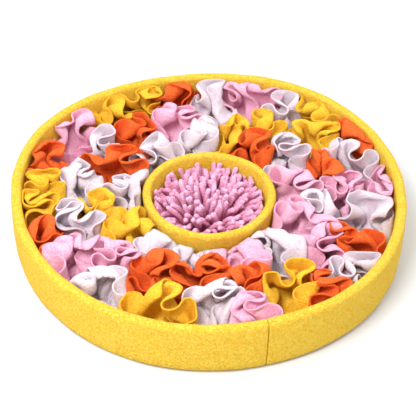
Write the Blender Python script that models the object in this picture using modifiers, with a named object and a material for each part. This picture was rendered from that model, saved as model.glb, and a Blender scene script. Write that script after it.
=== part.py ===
"""Round snuffle mat: a foraging mat for pets.

A soft foam-filled ring of yellow fleece stands round a flat base panel. A low ring of the same
make walls off a round well in the middle, which is filled with a pile of pink chenille fingers.
The channel between the rings is packed with gathered circles of fleece in orange, yellow, pink
and white, each sewn to the base at its own centre, so that its rim stands up in folds.

Run it in Blender: blender --background --python part.py, or from the Text Editor.
Blender's units are metres. Sizes here are in millimetres, and are scaled by MM. +Z is up, the
origin is the centre of the base's underside, and -Y is the side with the seam of the outer ring.
"""

import math
from collections import namedtuple

import bmesh
import bpy
import numpy as np
from mathutils import Matrix, Vector

MM = 0.001
SEAM_GAP = 0.3  # between pieces that are sewn together

# Outer ring, a band of fleece over foam
MAT_RADIUS = 221.0
MAT_HEIGHT = 63.0
OUTER_WALL = 11.0
OUTER_STEPS = 64
SEAM_ANGLE = -74.0  # degrees, where the ends of the band meet
SEAM_WIDTH = 1.6
SEAM_DEPTH = 1.4

# The hand-made ring is a little out of round: millimetres of extra radius, by waves per turn
OUT_OF_ROUND = {3: (-1.2, 1.8), 4: (-1.3, -1.6)}

# Base panel, cut to fit inside the outer ring
BASE_THICKNESS = 3.0
BASE_RADIUS = MAT_RADIUS - OUTER_WALL - 2 * SEAM_GAP

# Inner ring, round the well
WELL_RADIUS = 75.0
WELL_HEIGHT = 49.0
INNER_WALL = 9.5
INNER_FLARE = 4.0  # the ring is wider at its top than at its foot
INNER_STEPS = 36

# Pile of chenille fingers in the well
PILE_RADIUS = WELL_RADIUS - INNER_FLARE - INNER_WALL - 1.0
PILE_BACKING = 4.0
PILE_DOME = 5.0  # the backing is padded, higher in the middle
FINGER_RINGS = 6
FINGER_PITCH = 8.4
FINGER_FOOT = 4.0  # half width of a finger across its corners, at its root and at its tip
FINGER_TIP = 2.8
FINGER_LENGTH = 28.0
FINGER_SPLAY = 22.0  # degrees, lean of the outermost fingers

# Gathered fleece circles
FLEECE = 2.6  # thickness of the cloth
RUFFLE_GAP = 0.5  # from a face of the cloth to the edge of its plot
WALL_GAP = 0.7  # more than that at the outer ring
RUFFLE_ROOT = BASE_THICKNESS + SEAM_GAP + FLEECE / 2 + 0.1
SWAY_HEIGHT = 55.0  # height at which a row's sway is reached
SPREAD = 0.022  # how much more room a ruffle takes there for each millimetre that its rim is higher
MEAN_RIM = 57.0
PLOT_CORNER = 18.0  # how far a ruffle fills the corners of its plot
RUFFLE_LEVELS = (0.56, 1.0)  # shares of the way from root to rim that carry points
POINTS_BY_FOLD = 6  # points round the rim
RIM_DROOP = 4.0  # the middle of a fold hangs lower than the pleats beside it
PLEAT_GAP = 2.1  # from the middle of a pleat to the mid surface of the cloth at its side
PLEAT_SPREAD = 2.6  # more than that, at the most open pleats
PLEAT_ROOM = 4.2  # width that each side of a fold needs at its neck
RUFFLE_TWIST = 0.5  # how far the pleats swirl, in radians, at the middle of a ruffle
CROWDING = 3.6  # how far the packed cloth bends its neighbours aside, at SWAY_HEIGHT
CROWD_SPAN = 10.0  # length of that bending, per radian

COLOURS = {
    "yellow": (0.93, 0.62, 0.06),
    "orange": (0.90, 0.20, 0.05),
    "pink": (0.86, 0.42, 0.62),
    "white": (0.86, 0.82, 0.86),
}

# One row for each gathered circle. x and y place its root, size is how hard it pushes its
# neighbours away, top is the height of its rim, folds is how many times the rim goes in and
# out, sway moves the rim off the root, and petal is the direction of its widest fold, in
# degrees, with that fold's rise above the rest of the rim.
Ruffle = namedtuple("Ruffle", "name fleece x y size top folds sway_x sway_y petal rise")
RUFFLES = [
    Ruffle(*row)
    for row in (
        # against the outer ring, clockwise from the back
        ("orange_01", "orange", -43, 178, 30, 50, 5, 0, 6, 95, 9),
        ("white_01", "white", 1, 158, 27, 52, 5, 0, 6, 90, 12),
        ("pink_01", "pink", 46, 174, 32, 50, 6, 0, 6, 85, 9),
        ("white_02", "white", 88, 152, 24, 50, 4, 3, 5, 100, 8),
        ("yellow_01", "yellow", 123, 144, 29, 50, 5, 5, 4, 50, 8),
        ("orange_02", "orange", 171, 98, 27, 50, 5, 6, 2, 40, 10),
        ("white_03", "white", 160, 56, 26, 52, 5, 2, 6, 85, 12),
        ("pink_02", "pink", 190, 10, 27, 50, 5, 5, 0, 10, 8),
        ("white_04", "white", 172, -46, 30, 50, 5, 2, 3, 80, 9),
        ("white_05", "white", 152, -122, 27, 50, 5, 5, -4, 60, 5),
        ("orange_03", "orange", 124, -154, 24, 50, 4, 5, -5, 120, 4),
        ("yellow_02", "yellow", 82, -150, 31, 50, 6, 2, -3, 70, 5),
        ("pink_03", "pink", 42, -184, 23, 50, 4, 0, -3, 90, 4),
        ("white_06", "white", 10, -172, 26, 52, 5, 0, -2, 90, 7),
        ("yellow_03", "yellow", -46, -180, 28, 52, 5, 0, -3, 80, 7),
        ("white_07", "white", -104, -148, 26, 50, 5, -3, -3, 110, 5),
        ("pink_04", "pink", -138, -116, 31, 50, 6, -4, -2, 100, 7),
        ("orange_04", "orange", -166, -82, 25, 50, 4, -4, 0, 150, 6),
        ("yellow_04", "yellow", -190, -42, 26, 50, 5, -5, 0, 130, 7),
        ("yellow_05", "yellow", -184, 2, 24, 49, 4, -3, 0, 90, 4),
        ("orange_05", "orange", -188, 44, 27, 49, 5, -4, 2, 110, 8),
        ("pink_05", "pink", -161, 92, 32, 49, 6, -4, 5, 125, 11),
        ("yellow_06", "yellow", -122, 136, 28, 49, 5, -3, 5, 110, 8),
        ("yellow_07", "yellow", -84, 164, 26, 50, 5, -2, 5, 100, 9),
        # along the middle of the channel, clockwise from the back
        ("pink_06", "pink", -46, 122, 29, 51, 5, 0, 2, 60, 6),
        ("yellow_08", "yellow", 72, 118, 24, 51, 4, 0, 3, 90, 4),
        ("yellow_09", "yellow", 124, 98, 27, 51, 5, 0, 3, 80, 6),
        ("orange_06", "orange", 126, 40, 25, 51, 4, 2, 2, 40, 7),
        ("pink_07", "pink", 146, 8, 26, 51, 5, 0, 2, 80, 5),
        ("orange_07", "orange", 156, -86, 26, 50, 5, 2, 0, 100, 6),
        ("pink_08", "pink", 120, -88, 27, 50, 5, 0, 0, 80, 5),
        ("orange_08", "orange", 44, -142, 24, 50, 4, 0, -1, 90, 5),
        ("orange_09", "orange", -8, -137, 28, 51, 5, 0, -1, 70, 6),
        ("orange_10", "orange", -60, -128, 27, 50, 5, 0, -1, 60, 6),
        ("pink_09", "pink", -98, -112, 24, 50, 4, -1, -1, 90, 4),
        ("white_08", "white", -138, -62, 28, 50, 5, -1, 0, 100, 5),
        ("yellow_10", "yellow", -118, -32, 25, 50, 4, 0, 0, 80, 4),
        ("white_09", "white", -142, 4, 28, 50, 5, 0, 1, 100, 4),
        ("orange_11", "orange", -112, 38, 29, 51, 5, 0, 2, 70, 7),
        ("white_10", "white", -128, 74, 24, 50, 4, 0, 3, 90, 6),
        ("orange_12", "orange", -94, 92, 25, 51, 4, 0, 3, 60, 7),
        # round the inner ring, clockwise from the back
        ("white_11", "white", -66, 66, 24, 50, 4, 0, 0, 100, 4),
        ("white_12", "white", -14, 98, 24, 50, 4, 0, 2, 90, 5),
        ("yellow_11", "yellow", 18, 102, 22, 50, 4, 0, 0, 60, 4),
        ("orange_13", "orange", 50, 84, 26, 50, 5, 0, 0, 50, 6),
        ("white_13", "white", 88, 66, 28, 51, 5, 0, 1, 80, 5),
        ("pink_10", "pink", 96, 12, 27, 51, 5, 1, 0, 60, 5),
        ("white_14", "white", 124, -20, 25, 50, 4, 0, 0, 90, 5),
        ("pink_11", "pink", 98, -48, 27, 51, 5, 0, 0, 60, 6),
        ("white_15", "white", 78, -88, 26, 50, 5, 0, 0, 80, 4),
        ("pink_12", "pink", 34, -102, 28, 50, 5, 0, 0, 60, 6),
        ("white_16", "white", -14, -98, 25, 50, 4, 0, 0, 90, 4),
        ("white_17", "white", -58, -84, 25, 50, 4, 0, 0, 90, 5),
        ("yellow_12", "yellow", -92, -70, 25, 51, 4, 0, 0, 60, 5),
        ("white_18", "white", -94, -10, 27, 50, 5, 0, 0, 100, 4),
    )
]


def material(name, colour):
    """A matt cloth colour."""
    made = bpy.data.materials.new(name)
    made.use_nodes = True
    shader = made.node_tree.nodes["Principled BSDF"]
    shader.inputs["Base Color"].default_value = (*colour, 1.0)
    shader.inputs["Roughness"].default_value = 0.95
    shader.inputs["Metallic"].default_value = 0.0
    return made


def add_object(name, mesh, finish, collection):
    """Makes an object of the mesh, with its material, in the collection."""
    made = bpy.data.objects.new(name, mesh)
    made.data.materials.append(finish)
    collection.objects.link(made)
    return made


def make_cutter(made):
    """Keeps a helper of a Boolean out of the render."""
    made.hide_render = True
    made.display_type = "WIRE"


def evaluated_mesh(maker):
    """The mesh of an object with its modifiers applied. The object itself is removed."""
    bpy.context.scene.collection.objects.link(maker)
    graph = bpy.context.evaluated_depsgraph_get()
    mesh = bpy.data.meshes.new_from_object(maker.evaluated_get(graph))
    bpy.data.objects.remove(maker)
    return mesh


def turned(name, profile, steps):
    """A mesh turned about Z from (radius, height) points in millimetres."""
    outline = bpy.data.meshes.new(name)
    points = [(radius * MM, 0.0, height * MM) for radius, height in profile]
    edges = [(i, i + 1) for i in range(len(points) - 1)]
    if profile[0][0] > 0:
        edges.append((len(points) - 1, 0))
    outline.from_pydata(points, edges, [])
    maker = bpy.data.objects.new(name, outline)
    screw = maker.modifiers.new("Turn", "SCREW")
    screw.steps = screw.render_steps = steps
    screw.use_merge_vertices = True
    screw.merge_threshold = 0.00001
    return evaluated_mesh(maker)


def finish_mesh(mesh, sharp_angle):
    """Turns the faces outwards and shades the round ones smooth."""
    edit = bmesh.new()
    edit.from_mesh(mesh)
    bmesh.ops.recalc_face_normals(edit, faces=edit.faces)
    edit.to_mesh(mesh)
    edit.free()
    mesh.shade_smooth()
    mesh.set_sharp_from_angle(angle=math.radians(sharp_angle))


def out_of_round(angle):
    """Extra radius of the mat, in millimetres, in a direction given in radians."""
    return sum(
        along_x * np.cos(waves * angle) + along_y * np.sin(waves * angle)
        for waves, (along_x, along_y) in OUT_OF_ROUND.items()
    )


def push_out_of_round(mesh):
    """Moves each point off the middle of a turned mesh as the mat is out of round."""
    for point in mesh.vertices:
        if math.hypot(point.co.x, point.co.y) > WELL_RADIUS * MM:
            angle = math.atan2(point.co.y, point.co.x)
            shift = out_of_round(angle) * MM
            point.co.x += shift * math.cos(angle)
            point.co.y += shift * math.sin(angle)


def ring_profile(radius, thickness, foot, top, flare):
    """Section of a foam-filled band: round at its top edge, soft at its foot, wider at the top."""
    half = thickness / 2
    middle_top = radius - half
    middle_foot = middle_top - flare
    waist = (middle_top + middle_foot) / 2
    soft = 3.0
    shoulder = top - half * 0.9
    crown = top - half * 0.25
    outer = [
        (middle_top, top),
        (middle_top + half * 0.62, crown),
        (middle_top + half, shoulder),
        (waist + half + 0.9, (foot + top) / 2),
        (middle_foot + half, foot + soft),
        (middle_foot + half - soft, foot),
    ]
    inner = [
        (middle_foot - half + soft, foot),
        (middle_foot - half, foot + soft),
        (middle_top - half, shoulder),
        (middle_top - half * 0.62, crown),
    ]
    return outer + inner


def build_outer_ring(finish, collection, cutters):
    """The high band round the mat, with the butted seam where its ends meet."""
    profile = ring_profile(MAT_RADIUS, OUTER_WALL, 0.0, MAT_HEIGHT, 0.0)
    mesh = turned("outer_ring", profile, OUTER_STEPS)
    push_out_of_round(mesh)
    finish_mesh(mesh, 50)
    ring = add_object("outer_ring", mesh, finish, collection)

    angle = math.radians(SEAM_ANGLE)
    face = (MAT_RADIUS + out_of_round(angle)) * MM
    bpy.ops.mesh.primitive_cube_add(size=MM, rotation=(0, 0, angle))
    cutter = bpy.context.object
    cutter.name = "seam_cutter"
    cutter.location = (face * math.cos(angle), face * math.sin(angle), 0.0)
    cutter.scale = (2 * SEAM_DEPTH, SEAM_WIDTH, 3 * MAT_HEIGHT)
    for user in list(cutter.users_collection):
        user.objects.unlink(cutter)
    cutters.objects.link(cutter)
    make_cutter(cutter)
    seam = ring.modifiers.new("Seam", "BOOLEAN")
    seam.operation = "DIFFERENCE"
    seam.object = cutter


def build_inner_ring(finish, collection):
    """The low band round the well, which opens a little towards its top."""
    foot = BASE_THICKNESS + SEAM_GAP
    profile = ring_profile(WELL_RADIUS, INNER_WALL, foot, WELL_HEIGHT, INNER_FLARE)
    mesh = turned("inner_ring", profile, INNER_STEPS)
    finish_mesh(mesh, 50)
    add_object("inner_ring", mesh, finish, collection)


def build_base(finish, collection):
    """The flat round panel that everything is sewn to."""
    profile = [(0, BASE_THICKNESS), (BASE_RADIUS, BASE_THICKNESS), (BASE_RADIUS, 0), (0, 0)]
    mesh = turned("base_panel", profile, OUTER_STEPS)
    push_out_of_round(mesh)
    finish_mesh(mesh, 30)
    add_object("base_panel", mesh, finish, collection)


def backing_top(radius):
    """Height of the pile's backing at a distance from its middle."""
    share = radius / PILE_RADIUS
    return BASE_THICKNESS + SEAM_GAP + PILE_BACKING + PILE_DOME * (1 - share * share)


def fingers_mesh():
    """All the fingers of the pile: four-sided tapering posts, in rings of six, twelve and so on."""
    edit = bmesh.new()
    for ring in range(FINGER_RINGS + 1):
        count = max(6 * ring, 1)
        for step in range(count):
            radius = ring * FINGER_PITCH
            angle = 2 * math.pi * step / count + 0.35 * ring
            lean = math.radians(FINGER_SPLAY) * ring / FINGER_RINGS
            heading = angle + 0.12 * math.sin(5.1 * step + 2.3 * ring)
            length = FINGER_LENGTH * (1 + 0.08 * math.sin(3.7 * step + 1.9 * ring))
            sink = 1.5
            root = Vector((radius * math.cos(angle), radius * math.sin(angle), backing_top(radius) - sink))
            sideways = math.sin(lean)
            direction = Vector((sideways * math.cos(heading), sideways * math.sin(heading), math.cos(lean)))
            place = Matrix.Translation((root + direction * length / 2) * MM)
            bmesh.ops.create_cone(
                edit,
                cap_ends=True,
                segments=4,
                radius1=FINGER_FOOT * MM,
                radius2=FINGER_TIP * MM,
                depth=length * MM,
                matrix=place @ direction.to_track_quat("Z", "Y").to_matrix().to_4x4(),
            )
    mesh = bpy.data.meshes.new("fingers")
    edit.to_mesh(mesh)
    edit.free()
    return mesh


def build_pile(finish, collection, cutters):
    """The chenille fingers, fused at their roots into the round backing they are tufted through."""
    foot = BASE_THICKNESS + SEAM_GAP
    profile = [(radius, backing_top(radius)) for radius in (0, 0.45 * PILE_RADIUS, 0.8 * PILE_RADIUS)]
    profile += [(PILE_RADIUS, backing_top(PILE_RADIUS)), (PILE_RADIUS, foot), (0, foot)]
    backing = turned("pile", profile, 32)
    finish_mesh(backing, 30)
    pile = add_object("pile", backing, finish, collection)
    fingers = add_object("fingers", fingers_mesh(), finish, cutters)
    make_cutter(fingers)
    tuft = pile.modifiers.new("Tuft", "BOOLEAN")
    tuft.operation = "UNION"
    tuft.object = fingers


def smooth_step(low, high, value):
    """Goes from 0 to 1 as the value goes from low to high, with soft ends."""
    share = np.clip((value - low) / (high - low), 0.0, 1.0)
    return share * share * (3 - 2 * share)


def middle_at(ruffle, height):
    """Where the middle of a ruffle is, in plan, at a height: it sways off its root."""
    root = np.array((ruffle.x, ruffle.y), float)
    sway = np.array((ruffle.sway_x, ruffle.sway_y), float)
    return root + np.multiply.outer(height / SWAY_HEIGHT, sway)


def size_at(ruffle, height):
    """How hard a ruffle pushes its neighbours away at a height: a higher one spreads over a lower one."""
    higher = ruffle.top + ruffle.rise - MEAN_RIM
    return ruffle.size * (1 + SPREAD * higher * height / SWAY_HEIGHT)


def room(ruffle, angle, height):
    """Distance from the ruffle's middle to the edge of its plot, by direction and height.

    The plots are those of a weighted Voronoi diagram, cut at each height, and end at the two
    rings. Their edges are blended, so that the cloth rounds each corner.
    """
    middle = middle_at(ruffle, height)
    heading = np.stack((np.cos(angle), np.sin(angle)), -1)
    nearness = np.zeros_like(angle)
    for other in RUFFLES:
        if 0 < math.hypot(other.x - ruffle.x, other.y - ruffle.y) < 120:
            gap = middle_at(other, height) - middle
            far = np.hypot(gap[..., 0], gap[..., 1])
            edge = (far**2 + size_at(ruffle, height) ** 2 - size_at(other, height) ** 2) / (2 * far)
            along = (gap * heading).sum(-1) / far
            nearness += (np.maximum(along, 0.0) / edge) ** PLOT_CORNER

    off_centre = np.hypot(middle[..., 0], middle[..., 1])
    inwards = -(middle * heading).sum(-1) / off_centre
    nearness += (np.maximum(inwards, 0.0) / (off_centre - WELL_RADIUS)) ** PLOT_CORNER

    outwards = (middle * heading).sum(-1)
    hit = middle
    for _ in range(3):
        round_wall = MAT_RADIUS - OUTER_WALL - WALL_GAP
        wall = round_wall + out_of_round(np.arctan2(hit[..., 1], hit[..., 0]))
        path = np.sqrt(outwards**2 + wall**2 - off_centre**2) - outwards
        hit = middle + path[..., None] * heading
    nearness += (1 / path) ** PLOT_CORNER
    return nearness ** (-1 / PLOT_CORNER)


def fold_edge(ruffle, number):
    """Direction, from the petal, of the edge of a ruffle's fold. Edges are numbered from the petal."""
    seed = RUFFLES.index(ruffle)
    even = 2 * math.pi * number / ruffle.folds
    return even + 0.45 * np.sin(even) + 0.15 * np.sin(2 * even) + 0.07 * np.sin(2 * even + 2.9 * seed)


def gathered(ruffle, share, turn):
    """Where a point of a flat cloth circle lies once the circle is gathered and sewn down.

    The point lies share of the way from the circle's middle to its rim, in the direction turn.
    The rim goes out to the edge of the plot at each fold, and in again at the pleat between two.
    """
    seed = RUFFLES.index(ruffle)
    place = turn * ruffle.folds / (2 * math.pi)
    fold = np.round(place)
    side = np.where(place > fold, 0.5, -0.5)
    across = 2 * np.abs(place - fold)  # 0 in the middle of a fold, 1 in a pleat
    pleat = fold + side
    pleat_angle = fold_edge(ruffle, pleat)
    middle_angle = (fold_edge(ruffle, fold - 0.5) + fold_edge(ruffle, fold + 0.5)) / 2
    half_fold = np.abs(pleat_angle - middle_angle)
    petal = np.exp(-(((1 - np.cos(middle_angle + (pleat_angle - middle_angle) * across)) / 0.42) ** 2))
    inward = smooth_step(0.44, 0.86, across)

    rim = ruffle.top + ruffle.rise * petal - RIM_DROOP * (1 - inward) * (1 - petal)
    rim = rim + 1.5 * np.sin(3 * turn + seed)
    height = RUFFLE_ROOT + (rim - RUFFLE_ROOT) * (1 - (1 - share) ** 1.7)

    # how far out, as a share of the free distance
    petal_angle = math.radians(ruffle.petal)
    free = room(ruffle, pleat_angle + petal_angle, height) - FLEECE / 2 - RUFFLE_GAP
    out = share**0.75
    gather = smooth_step(0.3, 0.95, share)
    pleat_out = 0.42 + 0.12 * np.sin(2.4 * pleat + 5.3 * seed)
    pitch = fold_edge(ruffle, pleat + 0.5) - fold_edge(ruffle, pleat - 0.5)
    pleat_out = np.maximum(pleat_out * out, 2 * PLEAT_ROOM / (pitch * free))
    pleat_out = np.minimum(pleat_out, out)
    reach = out + (pleat_out - out) * inward * gather

    # the two sides of a pleat stay a cloth's thickness and a little more apart
    pleat_gap = PLEAT_GAP + PLEAT_SPREAD * (0.5 + 0.5 * np.sin(3.7 * pleat + 1.9 * seed)) ** 2
    beside = pleat_gap * (1 - smooth_step(0.83, 1.0, across)) / np.maximum(free * reach, 4.0)
    beside = np.minimum(beside, 0.55 * half_fold) * gather + half_fold * (1 - across) * (1 - gather)
    opened = np.sin(np.minimum(across / 0.56, 1.0) * math.pi / 2)
    aside = (half_fold - beside) * (opened * gather + (1 - gather))
    angle = middle_angle + 2 * side * aside
    twist = RUFFLE_TWIST * math.sin(2.1 * seed) * (1 - reach)
    angle = petal_angle + angle + twist

    radius = (room(ruffle, angle, height) - FLEECE / 2 - RUFFLE_GAP) * reach
    middle = middle_at(ruffle, height)
    x = middle[..., 0] + radius * np.cos(angle)
    y = middle[..., 1] + radius * np.sin(angle)
    return np.stack((x, y, height), -1)


def crowded(points):
    """Bends packed cloth aside, in plan, more towards the rims and not at all at the two rings."""
    x, y, height = points[:, 0], points[:, 1], points[:, 2]
    off_centre = np.hypot(x, y)
    inside = smooth_step(WELL_RADIUS, WELL_RADIUS + 35, off_centre)
    outside = smooth_step(WELL_RADIUS, WELL_RADIUS + 35, MAT_RADIUS - OUTER_WALL + WELL_RADIUS - off_centre)
    reach = CROWDING * inside * outside * height / SWAY_HEIGHT
    aside = np.sin(y / CROWD_SPAN + 0.7 * np.sin(x / 17))
    ahead = np.sin(x / CROWD_SPAN + 1.3 + 0.7 * np.sin(y / 15))
    return np.stack((x + reach * aside, y + reach * ahead, height), -1)


def flat_circle(name, steps):
    """A flat cloth circle one metre in radius: a row of points spun round its end."""
    edit = bmesh.new()
    row = [edit.verts.new((level, 0.0, 0.0)) for level in (0.0, *RUFFLE_LEVELS)]
    edges = [edit.edges.new(pair) for pair in zip(row, row[1:])]
    bmesh.ops.spin(
        edit, geom=row + edges, axis=(0, 0, 1), angle=2 * math.pi, steps=steps, use_merge=True
    )
    bmesh.ops.remove_doubles(edit, verts=edit.verts, dist=0.0001)
    bmesh.ops.recalc_face_normals(edit, faces=edit.faces)
    mesh = bpy.data.meshes.new(name)
    edit.to_mesh(mesh)
    edit.free()
    return mesh


def build_ruffle(ruffle, finish, collection):
    """One gathered circle of fleece, as a sheet of even thickness."""
    steps = POINTS_BY_FOLD * ruffle.folds
    mesh = flat_circle(ruffle.name, steps)
    flat = np.array([point.co for point in mesh.vertices])
    share = np.minimum(np.hypot(flat[:, 0], flat[:, 1]), 1.0)
    turn = np.arctan2(flat[:, 1], flat[:, 0]) + math.pi / steps
    mesh.vertices.foreach_set("co", gathered(ruffle, share, turn).ravel() * MM)
    maker = bpy.data.objects.new(ruffle.name, mesh)
    sheet = maker.modifiers.new("Fleece", "SOLIDIFY")
    sheet.thickness = FLEECE * MM
    sheet.offset = 0.0
    solid = evaluated_mesh(maker)
    placed = np.array([point.co for point in solid.vertices]) / MM
    solid.vertices.foreach_set("co", crowded(placed).ravel() * MM)
    finish_mesh(solid, 60)
    add_object(ruffle.name, solid, finish, collection)


def main():
    for old in list(bpy.data.objects):
        bpy.data.objects.remove(old)
    collection = bpy.data.collections.new("snuffle_mat")
    cutters = bpy.data.collections.new("cutters")
    bpy.context.scene.collection.children.link(collection)
    bpy.context.scene.collection.children.link(cutters)
    fleeces = {name: material(name + "_fleece", colour) for name, colour in COLOURS.items()}

    build_base(fleeces["yellow"], collection)
    build_outer_ring(fleeces["yellow"], collection, cutters)
    build_inner_ring(fleeces["yellow"], collection)
    build_pile(material("pink_chenille", COLOURS["pink"]), collection, cutters)
    for ruffle in RUFFLES:
        build_ruffle(ruffle, fleeces[ruffle.fleece], collection)


main()
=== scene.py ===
"""Round snuffle mat: its looks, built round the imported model.

A foam-filled ring of yellow fleece stands round 55 gathered circles of fleece in orange, yellow,
pink and white. A low ring in the middle holds a pile of pink chenille fingers. The file goes
through the mat in the order in which it is sewn together.
"""

import math
from collections import namedtuple

import bpy
import numpy as np
from mathutils import Matrix, Vector


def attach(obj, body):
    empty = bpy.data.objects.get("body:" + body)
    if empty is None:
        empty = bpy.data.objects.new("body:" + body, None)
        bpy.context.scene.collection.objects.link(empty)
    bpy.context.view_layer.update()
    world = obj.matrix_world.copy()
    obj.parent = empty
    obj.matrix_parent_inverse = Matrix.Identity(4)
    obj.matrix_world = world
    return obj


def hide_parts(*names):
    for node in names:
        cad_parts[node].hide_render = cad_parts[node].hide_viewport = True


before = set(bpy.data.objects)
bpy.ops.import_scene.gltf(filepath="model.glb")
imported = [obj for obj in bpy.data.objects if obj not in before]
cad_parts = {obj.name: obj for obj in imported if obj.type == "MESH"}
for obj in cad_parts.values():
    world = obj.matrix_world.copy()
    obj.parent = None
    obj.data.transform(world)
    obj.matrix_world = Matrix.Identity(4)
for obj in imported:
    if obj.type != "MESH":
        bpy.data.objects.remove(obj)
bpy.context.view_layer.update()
bpy.ops.object.select_all(action="DESELECT")


# ---- Camera ----------------------------------------------
# The photograph was taken from the front, 41 degrees above the table, through a long lens and
# with the camera turned a little about its own axis.

CAMERA_DISTANCE = 1.2
CAMERA_RISE = math.radians(40.95)
CAMERA_ROLL = math.radians(1.23)
CAMERA_LENS = 91.8  # millimetres, for a sensor 36 mm wide
CAMERA_SHIFT = (-0.0024, -0.0171)
LOOKED_AT = Vector((0, 0, 0.035))

bpy.ops.object.camera_add()
camera = bpy.context.object
forwards = Vector((0, math.cos(CAMERA_RISE), -math.sin(CAMERA_RISE)))
level_up = Vector((0, math.sin(CAMERA_RISE), math.cos(CAMERA_RISE)))
level_right = Vector((1, 0, 0))
right = level_right * math.cos(CAMERA_ROLL) + level_up * math.sin(CAMERA_ROLL)
up = level_up * math.cos(CAMERA_ROLL) - level_right * math.sin(CAMERA_ROLL)
turned = Matrix((right, up, -forwards)).transposed().to_4x4()
camera.matrix_world = Matrix.Translation(LOOKED_AT - CAMERA_DISTANCE * forwards) @ turned
camera.data.sensor_width = 36
camera.data.lens = CAMERA_LENS
camera.data.shift_x, camera.data.shift_y = CAMERA_SHIFT
camera.data.clip_start = 0.05
bpy.context.scene.camera = camera


# ---- Table and lights ------------------------------------
# A white table under a wide soft light from the front left and a weaker one from behind, in a
# white room.

TABLE_WHITE = (0.665, 0.677, 0.70, 1)
ROOM_LIGHT = 0.95
LAMPS = (  # name, place, width in metres, and power in watts
    ("key_light", (-0.4, -0.55, 1.2), 0.5, 16.5),
    ("back_light", (0.6, 0.7, 1.1), 0.9, 4.5),
)


class Value:
    """A number that changes over a surface. Sums on it add Math nodes to its material."""

    def __init__(self, finish, socket):
        self.finish = finish
        self.socket = socket

    def sum(self, operation, first, second):
        return self.finish.node("Math", {"operation": operation}, {0: first, 1: second})

    def __add__(self, other):
        return self.sum("ADD", self, other)

    def __radd__(self, other):
        return self.sum("ADD", other, self)

    def __sub__(self, other):
        return self.sum("SUBTRACT", self, other)

    def __rsub__(self, other):
        return self.sum("SUBTRACT", other, self)

    def __mul__(self, other):
        return self.sum("MULTIPLY", self, other)

    def __rmul__(self, other):
        return self.sum("MULTIPLY", other, self)

    def __abs__(self):
        return self.sum("ABSOLUTE", self, 0.0)


class Finish:
    """One material in the making."""

    def __init__(self, name, roughness):
        self.material = bpy.data.materials.new(name)
        self.material.use_nodes = True
        self.tree = self.material.node_tree
        self.surface = self.tree.nodes["Principled BSDF"]
        self.give({"Roughness": roughness})

    def put(self, socket, value):
        if isinstance(value, Value):
            self.tree.links.new(value.socket, socket)
        else:
            socket.default_value = value

    def give(self, sockets):
        """Gives the shader the values or links of its sockets, by name."""
        for name, value in sockets.items():
            self.put(self.surface.inputs[name], value)

    def node(self, kind, settings, sockets, output=0):
        """Adds a node: its settings first, and then the values or links of its sockets."""
        made = self.tree.nodes.new("ShaderNode" + kind)
        for name, value in settings.items():
            setattr(made, name, value)
        for name, value in sockets.items():
            self.put(made.inputs[name], value)
        return Value(self, made.outputs[output])

    def mixed(self, share, first, second):
        """A colour between two, by share."""
        settings = {"data_type": "RGBA"}
        return self.node("Mix", settings, {0: share, 6: first, 7: second}, 2)

    def noise(self, place, scale, detail, distortion=0.0):
        """An even random pattern, about one patch of it in 1 / scale metres."""
        sockets = {"Vector": place, "Scale": scale, "Detail": detail, "Distortion": distortion}
        return self.node("TexNoise", {}, sockets)

    def between(self, low, high, value):
        """Goes from 0 to 1 as the value goes from low to high."""
        return self.node("MapRange", {}, {"Value": value, "From Min": low, "From Max": high})

    def bumpy(self, height, distance):
        """Tilts the surface as if it stood out by height times distance, in metres."""
        return self.node("Bump", {}, {"Height": height, "Distance": distance, "Strength": 1.0})


bpy.ops.mesh.primitive_plane_add(size=12)
table = bpy.context.object
table.name = "table"
table_paint = Finish("white_table", 0.9)
table_paint.give({"Base Color": TABLE_WHITE})
table.data.materials.append(table_paint.material)

room = bpy.data.worlds.new("white_room")
room.use_nodes = True
room.node_tree.nodes["Background"].inputs["Color"].default_value = (1, 1, 1, 1)
room.node_tree.nodes["Background"].inputs["Strength"].default_value = ROOM_LIGHT
bpy.context.scene.world = room
bpy.context.scene.view_settings.view_transform = "Standard"

for name, place, width, power in LAMPS:
    bpy.ops.object.light_add(type="AREA", location=place)
    lamp = bpy.context.object
    lamp.name = name
    lamp.data.size = width
    lamp.data.energy = power
    lamp.rotation_euler = (LOOKED_AT - Vector(place)).to_track_quat("-Z", "Y").to_euler()


# ---- Base panel ------------------------------------------
# One round panel of doubled yellow cloth, cut to fit inside the outer ring. It is seen only
# between the ruffles and from below.

MM = 0.001  # sizes are in millimetres from here on, and this makes them Blender's metres
SEWN_GAP = 0.3  # between two pieces that are sewn together
MAT_RADIUS = 221.0
OUTER_WALL = 11.0
OUT_OF_ROUND = {3: (-1.2, 1.8), 4: (-1.3, -1.6)}  # extra radius, by waves in a turn
BASE_RADIUS = MAT_RADIUS - OUTER_WALL - 2 * SEWN_GAP
BASE_THICKNESS = 3.0
BASE_EDGE = 1.2  # how far its edge is rounded
BASE_STEPS = 192

# the pattern of brushed fleece
FLEECE_CURL = 0.62  # curls of the pile in a tuft
FLEECE_FUZZ = 2.6  # hairs in a tuft
FLEECE_CREASES = 95.0  # creases in a metre, and their depth in metres
FLEECE_CREASE_DEPTH = 0.0005
FLEECE_WEAR = 30.0  # paler and deeper patches in a metre
EDGE_PAINTED_SHADE_SPAN = (0.975, 0.995)  # where painted shade on a cut edge begins and is full, from the knot out
# how far the painted shade darkens the cut edge, which the light from above catches
EDGE_PAINTED_SHADE = 0.55


def out_of_round(x, y):
    """Extra radius of the hand-made mat, in millimetres, in the direction of a unit vector."""
    waves = {
        3: (4 * x * x * x - 3 * x, 3 * y - 4 * y * y * y),
        4: (8 * x * x * x * x - 8 * x * x + 1, 4 * x * y * (2 * x * x - 1)),
    }
    return sum(
        size[0] * waves[number][0] + size[1] * waves[number][1]
        for number, size in OUT_OF_ROUND.items()
    )


def start_editing():
    """Opens the active piece in edit mode, with all of it selected."""
    bpy.ops.object.mode_set(mode="EDIT")
    bpy.ops.mesh.select_all(action="SELECT")


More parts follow.
